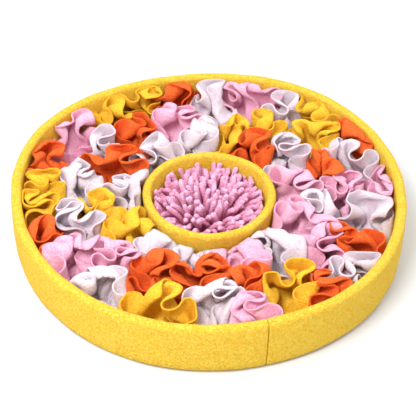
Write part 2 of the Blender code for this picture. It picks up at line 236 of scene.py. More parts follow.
def end_editing():
    """Turns all faces of the piece outwards and leaves edit mode."""
    bpy.ops.mesh.select_all(action="SELECT")
    bpy.ops.mesh.normals_make_consistent(inside=False)
    bpy.ops.object.mode_set(mode="OBJECT")


def push_out_of_round(piece):
    """Moves each point of a turned piece outwards as the mat is out of round."""
    for point in piece.data.vertices:
        off_centre = math.hypot(point.co.x, point.co.y)
        x, y = point.co.x / off_centre, point.co.y / off_centre
        point.co.x += out_of_round(x, y) * x * MM
        point.co.y += out_of_round(x, y) * y * MM


def fleece(name, pale, deep, tuft, pattern, relief, contrast, sheen, glow):
    """Brushed fleece: short curled tufts, pale on top and deeper in colour between them, which is
    partly the cloth's own tone and partly painted light on the tufts and painted shade between
    them.

    tuft is the size of a tuft in metres, relief its height as a share of that, and contrast how
    strongly its colour varies. pattern says where the tufts are laid out: "on the piece", or
    "on flat cloth" for a cut piece, which also gets painted shade on its cut edge. glow is how
    much light soaks through the cloth.
    """
    cloth = Finish(name, 0.95)
    if pattern == "on flat cloth":
        place = cloth.node("UVMap", {"uv_map": "flat_cloth"}, {})
    else:
        place = cloth.node("TexCoord", {}, {}, 3)
    curls = cloth.noise(place, FLEECE_CURL / tuft, 1.0, 0.6)
    fuzz = cloth.noise(place, FLEECE_FUZZ / tuft, 2.0)
    creases = cloth.noise(place, FLEECE_CREASES, 1.5)
    wear = cloth.noise(place, FLEECE_WEAR, 3.0)
    winding = 1 - abs(curls - 0.5) * 4.5
    height = (winding * 0.7 + fuzz * 0.5) * (relief * tuft) + creases * FLEECE_CREASE_DEPTH
    # the tufts' colour: partly their own tone, partly painted light on them and painted shade
    # between them
    shade = (curls + fuzz * 0.6 - 0.8) * contrast + 0.6 + (wear - 0.5) * 0.2
    tint = cloth.mixed(shade, (*deep, 1), (*pale, 1))
    # painted shade: the lit cut edge is mixed towards a darker copy of the deep colour
    if pattern == "on flat cloth":
        from_knot = cloth.node("Attribute", {"attribute_name": "from_knot"}, {}, 2)
        edge = cloth.between(*EDGE_PAINTED_SHADE_SPAN, from_knot) * EDGE_PAINTED_SHADE
        tint = cloth.mixed(edge, tint, (*(0.8 * part for part in deep), 1))
    cloth.give(
        {
            "Base Color": tint,
            "Normal": cloth.bumpy(height, 1.0),
            "Sheen Weight": sheen,
            "Sheen Roughness": 0.5,
            "Specular IOR Level": 0.1,
            "Subsurface Weight": glow,
            "Subsurface Radius": (1.0, 0.6, 0.5),
            "Subsurface Scale": 0.005,
        }
    )
    return cloth.material


# pale and deep: the tufts' own tone, with painted light on them and painted shade between them
ring_fleece = fleece(
    "yellow_ring_fleece",
    pale=(1.0, 0.7, 0.1),
    deep=(0.97, 0.54, 0.028),
    tuft=0.0014,
    pattern="on the piece",
    relief=1.2,
    contrast=4.5,
    sheen=0.0,
    glow=0.1,
)

bpy.ops.mesh.primitive_circle_add(
    vertices=BASE_STEPS, radius=BASE_RADIUS * MM, fill_type="NGON", location=(0, 0, 0)
)
base_cloth = bpy.context.object
base_cloth.name = "base_cloth"
start_editing()
bpy.ops.mesh.extrude_region_move(TRANSFORM_OT_translate={"value": (0, 0, BASE_THICKNESS * MM)})
end_editing()
push_out_of_round(base_cloth)
soft_edge = base_cloth.modifiers.new("Soft edge", "BEVEL")
soft_edge.width = BASE_EDGE * MM
soft_edge.segments = 3
bpy.ops.object.modifier_apply(modifier=soft_edge.name)
bpy.ops.object.shade_smooth_by_angle(angle=math.radians(40))
base_cloth.data.materials.append(ring_fleece)
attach(base_cloth, "root")
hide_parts("base_panel")


# ---- Outer ring ------------------------------------------
# A long strip of foam, wrapped in yellow fleece and stood on edge round the base. The two ends
# of the fleece are butted together at the front right, and the thread draws the seam in.

MAT_HEIGHT = 63.0
OUTER_SWELL = 0.9
OUTER_STEPS = 256
FACE_STEPS = 10  # in a band's section, up each face and over its top
TOP_STEPS = 12
TOP_HEIGHT = 0.9  # of a band's round top, as a share of half its thickness
FOOT_TUCK = 3.0  # how far the cloth is drawn in at a band's foot
INNER_SWELL_SHARE = 0.4  # the face towards the middle swells less
SEAM_ANGLE = math.radians(-74.0)
SEAM_DEPTH = 2.2
SEAM_HALF_WIDTH = 0.42
PUCKER_DEPTH = 0.35
PUCKER_HALF_WIDTH = 1.5
SEAM_CUTS = (0.0, 0.2, 0.45, 0.9, 1.6, 3.0)  # rows of points on each side of the seam
# the stuffing is a little lumpy: height, waves in a turn, start, and slant by metres of height
LUMPS = ((0.35, 7, 0.6, 0), (0.25, 17, 0.0, 90), (0.2, 31, 2.0, 60))
TOP_WAVE = 0.5


def band_section(radius, thickness, foot, top, flare, swell):
    """Section of a foam-filled band, as (radius, height) points in millimetres.

    flare is how much wider the band is at its top than at its foot, and swell how far its outer
    face stands out at half its height.
    """
    half = thickness / 2
    shoulder = top - TOP_HEIGHT * half

    def on_face(share, side, swelling):
        """A point a share of the way up the outer face, or up the inner one if side is -1."""
        middle = radius - half - flare * (1 - share)
        belly = swelling * math.sin(math.pi * share)
        tuck = FOOT_TUCK * max(0.0, 1 - share * FACE_STEPS) ** 2
        return middle + side * (half + belly - tuck), foot + share * (shoulder - foot)

    def on_top(turn):
        """A point of the round top, by its angle from the outer face."""
        across = radius - half + half * math.cos(turn)
        return across, shoulder + TOP_HEIGHT * half * math.sin(turn)

    up = [on_face(step / FACE_STEPS, 1, swell) for step in range(FACE_STEPS + 1)]
    over = [on_top(math.pi * step / TOP_STEPS) for step in range(1, TOP_STEPS)]
    inner_swell = INNER_SWELL_SHARE * swell
    down = [on_face(1 - step / FACE_STEPS, -1, inner_swell) for step in range(FACE_STEPS + 1)]
    return up + over + down


def add_band(name, section, steps):
    """A band turned from its section: a circle is shaped to the section and spun about Z."""
    bpy.ops.mesh.primitive_circle_add(
        vertices=len(section), radius=5 * MM, location=(0.1, 0, 0), rotation=(math.pi / 2, 0, 0)
    )
    band = bpy.context.object
    band.name = name
    bpy.ops.object.transform_apply(location=True, rotation=True, scale=True)
    for point, (radius, height) in zip(band.data.vertices, section):
        point.co = (radius * MM, 0, height * MM)
    start_editing()
    bpy.ops.mesh.spin(steps=steps, angle=2 * math.pi, center=(0, 0, 0), axis=(0, 0, 1))
    bpy.ops.mesh.select_all(action="SELECT")
    bpy.ops.mesh.remove_doubles(threshold=0.00001)
    end_editing()
    bpy.ops.object.shade_smooth()
    return band


outer_band = add_band(
    "outer_band",
    band_section(MAT_RADIUS, OUTER_WALL, 0.0, MAT_HEIGHT, 0.0, OUTER_SWELL),
    OUTER_STEPS,
)
bpy.ops.object.mode_set(mode="EDIT")
to_seam = Vector((math.cos(SEAM_ANGLE), math.sin(SEAM_ANGLE), 0))
seam_across = Vector((-math.sin(SEAM_ANGLE), math.cos(SEAM_ANGLE), 0))
for beside in sorted({side * cut for cut in SEAM_CUTS for side in (-1, 1)}):
    bpy.ops.mesh.select_all(action="SELECT")
    bpy.ops.mesh.bisect(plane_co=seam_across * beside * MM, plane_no=seam_across)
bpy.ops.object.mode_set(mode="OBJECT")
for point in outer_band.data.vertices:
    angle = math.atan2(point.co.y, point.co.x)
    outwards = Vector((math.cos(angle), math.sin(angle), 0))
    middle = outwards * (MAT_RADIUS - OUTER_WALL / 2) * MM
    middle.z = min(point.co.z, (MAT_HEIGHT - OUTER_WALL / 2) * MM)
    away = point.co - middle
    # the thread pulls the cloth in along the seam, and it puckers a little on each side
    from_seam = point.co.dot(seam_across) / MM
    if point.co.dot(to_seam) > 0:
        drawn = SEAM_DEPTH * math.exp(-((from_seam / SEAM_HALF_WIDTH) ** 2))
        drawn += PUCKER_DEPTH * math.exp(-((from_seam / PUCKER_HALF_WIDTH) ** 2))
        point.co -= away.normalized() * drawn * MM
    uneven = sum(
        size * math.sin(waves * angle + start + slant * point.co.z)
        for size, waves, start, slant in LUMPS
    )
    point.co += outwards * uneven * min(1.0, point.co.z / 0.01) * MM
    raised = point.co.z / (MAT_HEIGHT * MM)
    point.co.z += TOP_WAVE * math.sin(5 * angle + 1.0) * raised**4 * MM
push_out_of_round(outer_band)
outer_band.data.materials.append(ring_fleece)
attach(outer_band, "root")
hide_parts("outer_ring")


# ---- Inner ring ------------------------------------------
# A lower band of the same make round the well, a little wider at its top than at its foot.

WELL_RADIUS = 75.0
WELL_HEIGHT = 49.0
INNER_WALL = 9.5
INNER_FLARE = 4.0
INNER_SWELL = 0.6
INNER_STEPS = 144
INNER_LUMPS = ((0.45, 3, 0.4), (0.3, 8, 2.2))  # at the top: height, waves in a turn, and start
INNER_WAVE = 0.5
ON_BASE = BASE_THICKNESS + SEWN_GAP

inner_band = add_band(
    "inner_band",
    band_section(WELL_RADIUS, INNER_WALL, ON_BASE, WELL_HEIGHT, INNER_FLARE, INNER_SWELL),
    INNER_STEPS,
)
for point in inner_band.data.vertices:
    # it is pressed out of round by the cloth round it, more towards its top
    angle = math.atan2(point.co.y, point.co.x)
    raised = max(0.0, point.co.z / MM - ON_BASE) / (WELL_HEIGHT - ON_BASE)
    uneven = sum(size * math.sin(waves * angle + start) for size, waves, start in INNER_LUMPS)
    point.co.x += math.cos(angle) * uneven * raised * MM
    point.co.y += math.sin(angle) * uneven * raised * MM
    point.co.z += INNER_WAVE * math.sin(2 * angle + 1.3) * raised**3 * MM
inner_band.data.materials.append(ring_fleece)
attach(inner_band, "root")
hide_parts("inner_ring")


# ---- Pile of chenille fingers ----------------------------
# A padded round backing with pink chenille fingers tufted through it. Each finger is a cord
# core under a thick knobbly pile. They stand in the middle and lean outwards at the rim.

PILE_RADIUS = WELL_RADIUS - INNER_FLARE - INNER_WALL - 1.0
PILE_BACKING = 4.0
PILE_DOME = 5.0
PILE_STEPS = 72
PILE_INSETS = 6
FINGER_RINGS = 8
FINGER_PITCH = 6.3
FINGER_TWIST = 0.35  # how far each ring of fingers is turned from the one inside it
FINGER_RADIUS = 2.9
FINGER_LENGTH = 38.0
FINGER_GAP = 0.8  # to the inner ring
FINGER_SPLAY = (4, 7, 11, 18, 28, 38, 46, 46, 34)  # degrees of lean, ring by ring
ROOT_LEAN = 0.25  # share of that lean at the root, and how much more of it there is at the tip
ADDED_LEAN = 1.05
FINGER_SCATTER = 0.06  # how far one may stray along its ring, and lean and bend aside
FINGER_ASIDE = 1.5
FINGER_BEND = 0.9
OUTER_ORDER = 0.7  # how much less the outermost ones lean aside
SPLAYS = (-0.2, 0.35)  # what a finger may add to its splay
LENGTHS = (0.78, 1.03)  # shares of the full length and radius
THICKNESSES = (0.9, 1.08)
FINGER_SIDES = 12
FINGER_STEPS = 28
FINGER_SUNK = 1.0  # root, under the backing's top
FINGER_TIP = 0.14  # share of its length that is rounded
KNOB_LENGTH = 3.4  # from one knob of the pile to the next, along the finger
KNOB_HEIGHT = 0.19  # of the knobs and of the loose hairs, as shares of the finger's radius
HAIR_HEIGHT = 0.1

CHENILLE_SHADED_PINK = (0.84, 0.31, 0.52, 1)  # painted shade between the knobs, and painted highlight on top of them
CHENILLE_LIT_PINK = (1.0, 0.66, 0.86, 1)
# painted shade, low down among the fingers' roots and on the backing
CHENILLE_PAINTED_ROOT_SHADE = (0.74, 0.13, 0.30, 1)
CHENILLE_KNOBS = 620.0  # in a metre
CHENILLE_FUZZ = 1900.0
CHENILLE_DEPTH = 0.0016  # metres
PAINTED_SHADE_HEIGHTS = (0.014, 0.042)  # heights in metres between which the painted shade at the roots gives way


def backing_top(radius):
    """Height of the backing, which is padded, at a distance from its middle."""
    share = radius / PILE_RADIUS
    return ON_BASE + PILE_BACKING + PILE_DOME * (1 - share * share)


def pick(piece):
    """Selects this piece alone and makes it the active one."""
    bpy.ops.object.select_all(action="DESELECT")
    bpy.context.view_layer.objects.active = piece
    piece.select_set(True)


chenille = Finish("pink_chenille_pile", 0.95)
place = chenille.node("TexCoord", {}, {}, 3)
knobs = chenille.noise(place, CHENILLE_KNOBS, 1.5)
fuzz = chenille.noise(place, CHENILLE_FUZZ, 1.0)
# painted light: pale on the knobs' tops and deep between them, by the pattern that raises the
# knobs
tip = chenille.mixed(chenille.between(0.3, 0.7, knobs), CHENILLE_SHADED_PINK, CHENILLE_LIT_PINK)
# painted shade: darker low down, at the fingers' roots and on the backing
height = chenille.node("SeparateXYZ", {}, {"Vector": place}, 2)
chenille.give(
    {
        "Base Color": chenille.mixed(chenille.between(*PAINTED_SHADE_HEIGHTS, height), CHENILLE_PAINTED_ROOT_SHADE, tip),
        "Normal": chenille.bumpy(knobs + fuzz * 0.4, CHENILLE_DEPTH),
        "Sheen Weight": 0.1,
        "Specular IOR Level": 0.15,
        "Subsurface Weight": 0.25,
        "Subsurface Radius": (1.0, 0.6, 0.6),
        "Subsurface Scale": 0.003,
    }
)

bpy.ops.mesh.primitive_circle_add(
    vertices=PILE_STEPS, radius=PILE_RADIUS * MM, fill_type="NGON", location=(0, 0, ON_BASE * MM)
)
backing = bpy.context.object
backing.name = "pile_backing"
bpy.ops.object.transform_apply(location=True, rotation=True, scale=True)
start_editing()
bpy.ops.mesh.extrude_region_move(TRANSFORM_OT_translate={"value": (0, 0, PILE_BACKING * MM)})
for ring in range(PILE_INSETS):
    bpy.ops.mesh.inset(thickness=PILE_RADIUS / (PILE_INSETS + 1) * MM)
end_editing()
for point in backing.data.vertices:
    if point.co.z > (ON_BASE + 0.5 * PILE_BACKING) * MM:
        point.co.z = backing_top(math.hypot(point.co.x, point.co.y) / MM) * MM
bpy.ops.object.shade_smooth_by_angle(angle=math.radians(50))
backing.data.materials.append(chenille.material)
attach(backing, "root")


def finger_points(ring, angle):
    """Points of one finger that is tufted in a ring, FINGER_SIDES of them at each level."""
    radius = ring * FINGER_PITCH
    at = np.array((radius * math.cos(angle), radius * math.sin(angle), 0.0))
    at[2] = backing_top(radius) - FINGER_SUNK
    loose = 1 - OUTER_ORDER * ring / FINGER_RINGS
    heading = angle + chance.uniform(-FINGER_ASIDE, FINGER_ASIDE) * loose
    splay = math.radians(FINGER_SPLAY[ring]) + chance.uniform(*SPLAYS)
    length = FINGER_LENGTH * chance.uniform(*LENGTHS)
    side_bend = chance.uniform(-FINGER_BEND, FINGER_BEND)
    first_knob = chance.uniform(0, 6)
    thick = FINGER_RADIUS * chance.uniform(*THICKNESSES)
    points = []
    for level in range(FINGER_STEPS + 1):
        share = level / FINGER_STEPS
        lean = splay * (ROOT_LEAN + ADDED_LEAN * share)
        turn = heading + side_bend * share
        along = np.array(
            (math.sin(lean) * math.cos(turn), math.sin(lean) * math.sin(turn), math.cos(lean))
        )
        if level:
            at = at + along * length / FINGER_STEPS
            # it stays inside the inner ring, which is wider at its top
            wall = WELL_RADIUS - INNER_FLARE - INNER_WALL - thick - FINGER_GAP
            wall += INNER_FLARE * (at[2] - ON_BASE) / (WELL_HEIGHT - ON_BASE)
            at[:2] *= min(1.0, wall / math.hypot(at[0], at[1]))
        across = np.cross(along, (-math.sin(turn), math.cos(turn), 0))
        across /= np.sqrt(across @ across)
        beside = np.cross(along, across)
        past_tip = max(0.0, (share - (1 - FINGER_TIP)) / FINGER_TIP)
        end = math.sqrt(max(0.0, 1 - past_tip**2))
        for side in range(FINGER_SIDES):
            around = 2 * math.pi * side / FINGER_SIDES
            knob = math.sin(2 * math.pi * length * share / KNOB_LENGTH + first_knob + 2 * around)
            knob += 0.6 * math.sin(3 * around + 9 * share + first_knob)
            wide = thick * (1 + KNOB_HEIGHT * knob + HAIR_HEIGHT * chance.normal()) * end
            points.append(at + wide * (math.cos(around) * across + math.sin(around) * beside))
    return points


chance = np.random.default_rng(11)
pile_points = []
pile_faces = []
for ring in range(FINGER_RINGS + 1):
    in_ring = max(6 * ring, 1)
    for step in range(in_ring):
        start = len(pile_points)
        scatter = chance.uniform(-FINGER_SCATTER, FINGER_SCATTER)
        angle = 2 * math.pi * step / in_ring + FINGER_TWIST * ring + scatter
        pile_points += finger_points(ring, angle)
        for level in range(FINGER_STEPS):
            for side in range(FINGER_SIDES):
                here = start + level * FINGER_SIDES + side
                beside_it = start + level * FINGER_SIDES + (side + 1) % FINGER_SIDES
                above = (beside_it + FINGER_SIDES, here + FINGER_SIDES)
                pile_faces.append((here, beside_it, *above))
        pile_faces.append(tuple(reversed(range(start, start + FINGER_SIDES))))
pile_mesh = bpy.data.meshes.new("chenille_fingers")
pile_mesh.from_pydata((np.array(pile_points) * MM).tolist(), [], pile_faces)
pile_mesh.validate()
fingers = bpy.data.objects.new("chenille_fingers", pile_mesh)
bpy.context.scene.collection.objects.link(fingers)
pick(fingers)
start_editing()
bpy.ops.mesh.remove_doubles(threshold=0.000005)
end_editing()
bpy.ops.object.shade_smooth()
fingers.data.materials.append(chenille.material)
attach(fingers, "root")
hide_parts("pile")


# ---- Gathered circles ------------------------------------
# Fifty-five circles of fleece, each drawn together at its middle with a few stitches and sewn
# to the base there, so that its rim stands up and crowds against its neighbours in soft folds.

# One row for each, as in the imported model: x and y place its root, size is how hard it pushes
# its neighbours away, top is the height of its rim, folds is how often the rim goes in and
# out, sway moves the rim off the root, and petal is the direction of its widest fold, in
# degrees, with that fold's rise above the rest.
Ruffle = namedtuple("Ruffle", "name x y size top folds sway_x sway_y petal rise")
ROWS = (
    # against the outer ring, clockwise from the back
    ("orange_01", -43, 178, 30, 50, 5, 0, 6, 95, 9),
    ("white_01", 1, 158, 27, 52, 5, 0, 6, 90, 12),
    ("pink_01", 46, 174, 32, 50, 6, 0, 6, 85, 9),
    ("white_02", 88, 152, 24, 50, 4, 3, 5, 100, 8),
    ("yellow_01", 123, 144, 29, 50, 5, 5, 4, 50, 8),
    ("orange_02", 171, 98, 27, 50, 5, 6, 2, 40, 10),
    ("white_03", 160, 56, 26, 52, 5, 2, 6, 85, 12),
    ("pink_02", 190, 10, 27, 50, 5, 5, 0, 10, 8),
    ("white_04", 172, -46, 30, 50, 5, 2, 3, 80, 9),
    ("white_05", 152, -122, 27, 50, 5, 5, -4, 60, 5),
    ("orange_03", 124, -154, 24, 50, 4, 5, -5, 120, 4),
    ("yellow_02", 82, -150, 31, 50, 6, 2, -3, 70, 5),
    ("pink_03", 42, -184, 23, 50, 4, 0, -3, 90, 4),
    ("white_06", 10, -172, 26, 52, 5, 0, -2, 90, 7),
    ("yellow_03", -46, -180, 28, 52, 5, 0, -3, 80, 7),
    ("white_07", -104, -148, 26, 50, 5, -3, -3, 110, 5),
    ("pink_04", -138, -116, 31, 50, 6, -4, -2, 100, 7),
    ("orange_04", -166, -82, 25, 50, 4, -4, 0, 150, 6),
    ("yellow_04", -190, -42, 26, 50, 5, -5, 0, 130, 7),
    ("yellow_05", -184, 2, 24, 49, 4, -3, 0, 90, 4),
    ("orange_05", -188, 44, 27, 49, 5, -4, 2, 110, 8),
    ("pink_05", -161, 92, 32, 49, 6, -4, 5, 125, 11),
    ("yellow_06", -122, 136, 28, 49, 5, -3, 5, 110, 8),
    ("yellow_07", -84, 164, 26, 50, 5, -2, 5, 100, 9),
    # along the middle of the channel, clockwise from the back
    ("pink_06", -46, 122, 29, 51, 5, 0, 2, 60, 6),
    ("yellow_08", 72, 118, 24, 51, 4, 0, 3, 90, 4),
    ("yellow_09", 124, 98, 27, 51, 5, 0, 3, 80, 6),
    ("orange_06", 126, 40, 25, 51, 4, 2, 2, 40, 7),
    ("pink_07", 146, 8, 26, 51, 5, 0, 2, 80, 5),
    ("orange_07", 156, -86, 26, 50, 5, 2, 0, 100, 6),
    ("pink_08", 120, -88, 27, 50, 5, 0, 0, 80, 5),
    ("orange_08", 44, -142, 24, 50, 4, 0, -1, 90, 5),
    ("orange_09", -8, -137, 28, 51, 5, 0, -1, 70, 6),
    ("orange_10", -60, -128, 27, 50, 5, 0, -1, 60, 6),
    ("pink_09", -98, -112, 24, 50, 4, -1, -1, 90, 4),
    ("white_08", -138, -62, 28, 50, 5, -1, 0, 100, 5),
    ("yellow_10", -118, -32, 25, 50, 4, 0, 0, 80, 4),
    ("white_09", -142, 4, 28, 50, 5, 0, 1, 100, 4),
    ("orange_11", -112, 38, 29, 51, 5, 0, 2, 70, 7),
    ("white_10", -128, 74, 24, 50, 4, 0, 3, 90, 6),
    ("orange_12", -94, 92, 25, 51, 4, 0, 3, 60, 7),
    # round the inner ring, clockwise from the back
    ("white_11", -66, 66, 24, 50, 4, 0, 0, 100, 4),
    ("white_12", -14, 98, 24, 50, 4, 0, 2, 90, 5),
    ("yellow_11", 18, 102, 22, 50, 4, 0, 0, 60, 4),
    ("orange_13", 50, 84, 26, 50, 5, 0, 0, 50, 6),
    ("white_13", 88, 66, 28, 51, 5, 0, 1, 80, 5),
    ("pink_10", 96, 12, 27, 51, 5, 1, 0, 60, 5),
    ("white_14", 124, -20, 25, 50, 4, 0, 0, 90, 5),
    ("pink_11", 98, -48, 27, 51, 5, 0, 0, 60, 6),
    ("white_15", 78, -88, 26, 50, 5, 0, 0, 80, 4),
    ("pink_12", 34, -102, 28, 50, 5, 0, 0, 60, 6),
    ("white_16", -14, -98, 25, 50, 4, 0, 0, 90, 4),
    ("white_17", -58, -84, 25, 50, 4, 0, 0, 90, 5),
    ("yellow_12", -92, -70, 25, 51, 4, 0, 0, 60, 5),
    ("white_18", -94, -10, 27, 50, 5, 0, 0, 100, 4),
)
RUFFLES = [Ruffle(*row) for row in ROWS]

CIRCLE_RADIUS = 73.0  # of the flat circle that is cut for a ruffle of MEAN_SIZE
MEAN_SIZE = 27
CUT_SPREAD = 0.012  # share by which it grows for each point of size above that
SMALLEST_CUT = 0.93
BIGGEST_CUT = 1.06
STITCHED_RADIUS = 3.0  # the knot in its middle
CLOTH = 1.8  # thickness of the fleece
RUFFLE_ROOT = ON_BASE + CLOTH / 2 + SEWN_GAP
LEVELS = 18  # steps from the knot to the rim
ROUND = 144  # points in each row
MORE_FOLDS = 2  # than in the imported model

# the plots into which the ruffles share out the channel between the rings
SWAY_HEIGHT = 55.0
SPREAD = 0.022
MEAN_RIM = 57.0
PLOT_CORNER = 18.0  # the higher, the sharper
NEIGHBOUR_REACH = 120
WALL_GAP = 3.5  # from a plot to the outer ring
GAP = 1.8  # from the middle of the cloth to the edge of its plot

# the pleats in which a ruffle is pinned out
WIDE_PETAL = 0.6
FOLD_CHANGE = 0.15  # how uneven the folds are, in all ruffles alike and in each its own way
OWN_CHANGE = 0.07
LONG_PETAL = 0.4
PETAL_WIDTH = 0.42
PLEAT_DIP = 4.0  # how much lower the rim is in a pleat
RIM_WAVE = 1.5
PLEAT_DEPTH = 0.42  # where a pleat lies, as a share of the way out, and how that varies
PLEAT_CHANGE = 0.12
PLEAT_ROOM = 8.4  # the width that a pleat needs
PLEAT_HALF_GAP = 2.1  # from the middle of a pleat to its sides, and how much more it can be
PLEAT_LOOSE = 2.6
PLEAT_FORMS = (0.3, 0.95)  # from the knot to the rim, where the pleats begin and are full
TURNS_IN = (0.44, 0.86)  # from a fold's middle to its pleat, where it turns in and has done so
PLEAT_CLOSES = (0.83, 1.0)  # and where the two sides of the pleat come together
OPENED_BY = 0.56  # and where the fold is at its widest
LEAST_REACH = 4.0
MOST_OF_FOLD = 0.55  # that the pleat's sides may take up
RISE_CURVE = 1.7  # the rim rises early on the way out, and the cloth spreads early too
SPREAD_CURVE = 0.75
RUFFLE_TWIST = 0.5


def smooth_step(low, high, value):
    """Goes from 0 to 1 as the value goes from low to high, with soft ends."""
    share = np.clip((value - low) / (high - low), 0.0, 1.0)
    return share * share * (3 - 2 * share)


def middle_at(ruffle, height):
    """Where the middle of a ruffle is, in plan, at a height."""
    root = np.array((ruffle.x, ruffle.y), float)
    sway = np.array((ruffle.sway_x, ruffle.sway_y), float)
    return root + np.multiply.outer(height / SWAY_HEIGHT, sway)


def size_at(ruffle, height):
    """How hard a ruffle pushes its neighbours away at a height: a higher one spreads more."""
    higher = ruffle.top + ruffle.rise - MEAN_RIM
    return ruffle.size * (1 + SPREAD * higher * height / SWAY_HEIGHT)


def plot_edge(ruffle, angle, height):
    """Distance from the ruffle's middle to the edge of its plot, by direction and height."""
    middle = middle_at(ruffle, height)
    heading = np.stack((np.cos(angle), np.sin(angle)), -1)
    nearness = np.zeros_like(angle)
    for other in RUFFLES:
        if 0 < math.hypot(other.x - ruffle.x, other.y - ruffle.y) < NEIGHBOUR_REACH:
            gap = middle_at(other, height) - middle
            far = np.hypot(gap[..., 0], gap[..., 1])
            pushes = far**2 + size_at(ruffle, height) ** 2 - size_at(other, height) ** 2
            along = (gap * heading).sum(-1) / far
            nearness += (np.maximum(along, 0.0) / (pushes / (2 * far))) ** PLOT_CORNER
    off_centre = np.hypot(middle[..., 0], middle[..., 1])
    inwards = -(middle * heading).sum(-1) / off_centre
    nearness += (np.maximum(inwards, 0.0) / (off_centre - WELL_RADIUS)) ** PLOT_CORNER
    outwards = (middle * heading).sum(-1)
    wall = MAT_RADIUS - OUTER_WALL - WALL_GAP
    path = np.sqrt(outwards**2 + wall**2 - off_centre**2) - outwards
    nearness += (1 / path) ** PLOT_CORNER
    return nearness ** (-1 / PLOT_CORNER)


def fold_edge(ruffle, number):
    """Direction, from the petal, of the edge of a ruffle's fold."""
    even = 2 * math.pi * number / (ruffle.folds + MORE_FOLDS)
    seed = RUFFLES.index(ruffle)
    return (
        even
        + WIDE_PETAL * np.sin(even)
        + FOLD_CHANGE * np.sin(2 * even)
        + OWN_CHANGE * np.sin(2 * even + 2.9 * seed)
    )


def pleated(ruffle, share, turn):
    """Where a point of the circle lies as it is pinned out, in as many pleats as it has folds.

    The point lies share of the way from the knot to the rim, in the direction turn.
    """
    seed = RUFFLES.index(ruffle)
    place = (turn - LONG_PETAL * np.sin(turn)) * (ruffle.folds + MORE_FOLDS) / (2 * math.pi)
    fold = np.round(place)
    side = np.where(place > fold, 0.5, -0.5)
    across = 2 * np.abs(place - fold)
    pleat = fold + side
    pleat_angle = fold_edge(ruffle, pleat)
    middle_angle = (fold_edge(ruffle, fold - 0.5) + fold_edge(ruffle, fold + 0.5)) / 2
    half_fold = np.abs(pleat_angle - middle_angle)
    swing = middle_angle + (pleat_angle - middle_angle) * across
    petal = np.exp(-(((1 - np.cos(swing)) / PETAL_WIDTH) ** 2))
    inward = smooth_step(*TURNS_IN, across)
    rim = ruffle.top + ruffle.rise * petal - PLEAT_DIP * (1 - inward) * (1 - petal)
    rim = rim + RIM_WAVE * np.sin(3 * turn + seed)
    height = RUFFLE_ROOT + (rim - RUFFLE_ROOT) * (1 - (1 - share) ** RISE_CURVE)
    petal_angle = math.radians(ruffle.petal)
    free = plot_edge(ruffle, pleat_angle + petal_angle, height) - GAP
    out = share**SPREAD_CURVE
    gather = smooth_step(*PLEAT_FORMS, share)
    pitch = fold_edge(ruffle, pleat + 0.5) - fold_edge(ruffle, pleat - 0.5)
    pleat_out = (PLEAT_DEPTH + PLEAT_CHANGE * np.sin(2.4 * pleat + 5.3 * seed)) * out
    pleat_out = np.minimum(np.maximum(pleat_out, PLEAT_ROOM / (pitch * free)), out)
    reach = out + (pleat_out - out) * inward * gather
    loose = (0.5 + 0.5 * np.sin(3.7 * pleat + 1.9 * seed)) ** 2
    half_gap = PLEAT_HALF_GAP + PLEAT_LOOSE * loose
    beside = half_gap * (1 - smooth_step(*PLEAT_CLOSES, across))
    beside = beside / np.maximum(free * reach, LEAST_REACH)
    beside = np.minimum(beside, MOST_OF_FOLD * half_fold) * gather
    beside = beside + half_fold * (1 - across) * (1 - gather)
    opened = np.sin(np.minimum(across / OPENED_BY, 1.0) * math.pi / 2)
    aside = (half_fold - beside) * (opened * gather + (1 - gather))
    angle = petal_angle + middle_angle + 2 * side * aside
    angle = angle + RUFFLE_TWIST * math.sin(2.1 * seed) * (1 - reach)
    radius = (plot_edge(ruffle, angle, height) - GAP) * reach
    middle = middle_at(ruffle, height)
    x = middle[..., 0] + radius * np.cos(angle)
    y = middle[..., 1] + radius * np.sin(angle)
    return np.stack((x, y, height), -1)


def lengths(gap):
    """Lengths of the vectors in an array, worked out the same way on every computer."""
    x, y, z = gap[..., 0], gap[..., 1], gap[..., 2]
    return np.sqrt(x * x + y * y + z * z)[..., None] + np.float32(1e-6)


def close_pairs(points, reach):
    """Every two points that lie closer than reach, found through a grid of cells that wide."""
    cell = np.floor(points / reach).astype(np.int64)
    cell -= cell.min(0) - 1
    wide = int(cell[:, 0].max()) + 3
    deep = int(cell[:, 1].max()) + 3
    key = cell[:, 0] + wide * (cell[:, 1] + deep * cell[:, 2])
    order = np.argsort(key, kind="stable")
    key = key[order]
    points = points[order]
    each = np.arange(len(points))
    firsts, seconds = [], []
    for row in (0, wide, wide * (deep - 1), wide * deep, wide * (deep + 1)):
        start = np.searchsorted(key, key + row - 1, side="left") if row else each + 1
        stop = np.searchsorted(key, key + row + 1, side="right")
        found = np.maximum(stop - start, 0)
        first = np.repeat(each, found)
        before = np.concatenate(([0], np.cumsum(found)[:-1]))
        second = np.arange(found.sum()) + np.repeat(start - before, found)
        near = lengths(points[first] - points[second])[:, 0] < reach
        firsts.append(first[near])
        seconds.append(second[near])
    return order[np.concatenate(firsts)], order[np.concatenate(seconds)]


